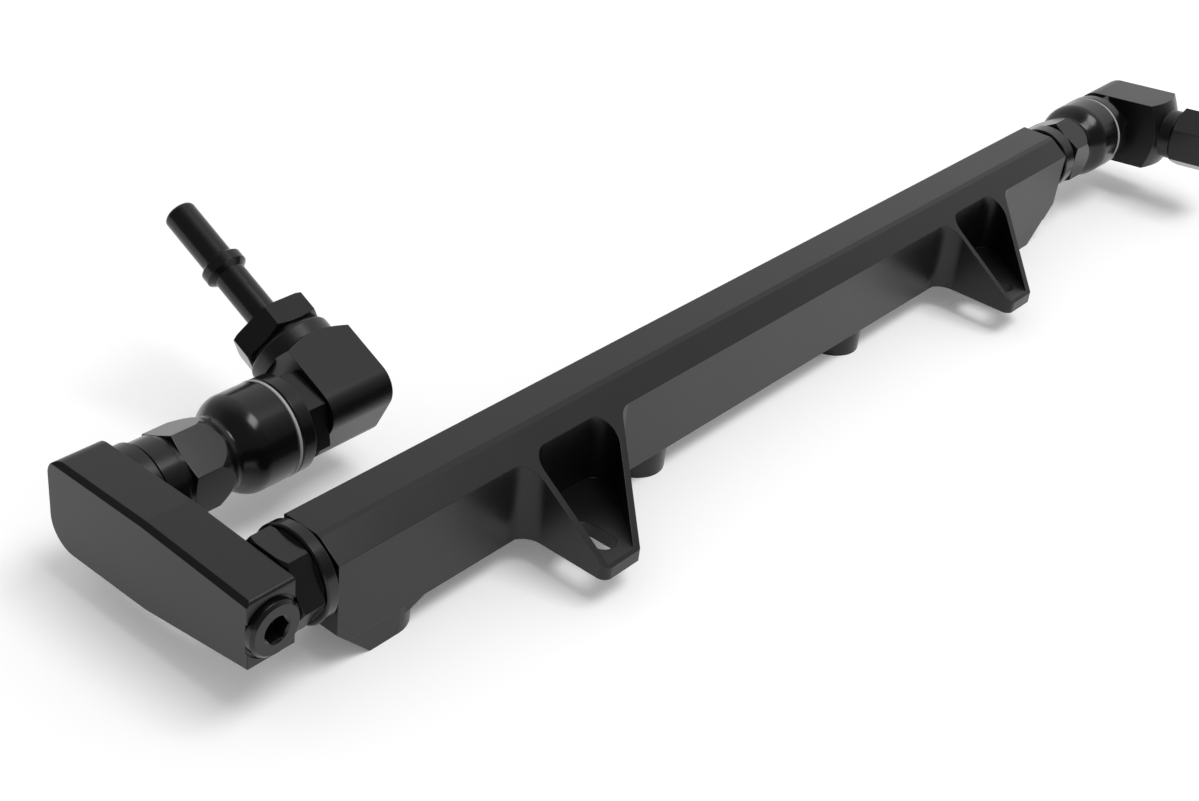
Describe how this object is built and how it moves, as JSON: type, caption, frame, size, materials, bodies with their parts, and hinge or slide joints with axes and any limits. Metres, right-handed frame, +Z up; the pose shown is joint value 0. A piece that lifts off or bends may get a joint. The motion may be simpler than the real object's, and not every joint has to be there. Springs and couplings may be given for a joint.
{
  "type": "fuel rail",
  "caption": "Milled fuel rail with injector pockets, slotted mounting brackets, a crossover arm and swivel elbows at both ends.",
  "frame": {"origin": "centre of the first injector pocket's mouth, on the rail's underside", "axes": "+X along the rail to its far end, +Z up, -Y the side with the mounting brackets"},
  "size_m": [0.471, 0.1634, 0.0608],
  "materials": {
    "black_anodised": "satin black anodised, bead blasted",
    "seal_rubber": "matt moulded",
    "thrust_ring": "turned, pale grey",
    "spring_steel": "plain"
  },
  "bodies": {
    "rail": {"rail_body": "black_anodised", "near_rail_washer": "black_anodised", "far_rail_washer": "black_anodised", "near_union": "black_anodised", "union_arm_seal": "seal_rubber", "arm_block": "black_anodised", "arm_plug": "black_anodised", "arm_plug_seal": "seal_rubber", "near_housing_seal": "seal_rubber", "near_swivel_housing": "black_anodised", "near_circlip": "spring_steel", "far_swivel_housing": "black_anodised", "far_circlip": "spring_steel"},
    "near_swivel": {"near_swivel_spigot": "black_anodised", "near_inner_seal": "seal_rubber", "near_outer_seal": "seal_rubber", "near_thrust_washer": "thrust_ring", "near_elbow": "black_anodised", "near_elbow_seal": "seal_rubber", "spout": "black_anodised", "spout_seal": "seal_rubber"},
    "far_swivel": {"far_swivel_spigot": "black_anodised", "far_inner_seal": "seal_rubber", "far_outer_seal": "seal_rubber", "far_thrust_washer": "thrust_ring", "far_elbow": "black_anodised", "far_elbow_seal": "seal_rubber", "outlet_adapter": "black_anodised", "outlet_seal": "seal_rubber"}
  },
  "joints": [
    {"name": "near_swivel_turn", "type": "hinge", "parent": "rail", "child": "near_swivel", "pos_m": [0, 0.05265, 0.02562], "axis": [1, 0, 0], "range_deg": [-160, 125]},
    {"name": "far_swivel_turn", "type": "hinge", "parent": "rail", "child": "far_swivel", "pos_m": [0.38, 0.00165, 0.0262], "axis": [1, 0, 0], "continuous": true}
  ]
}
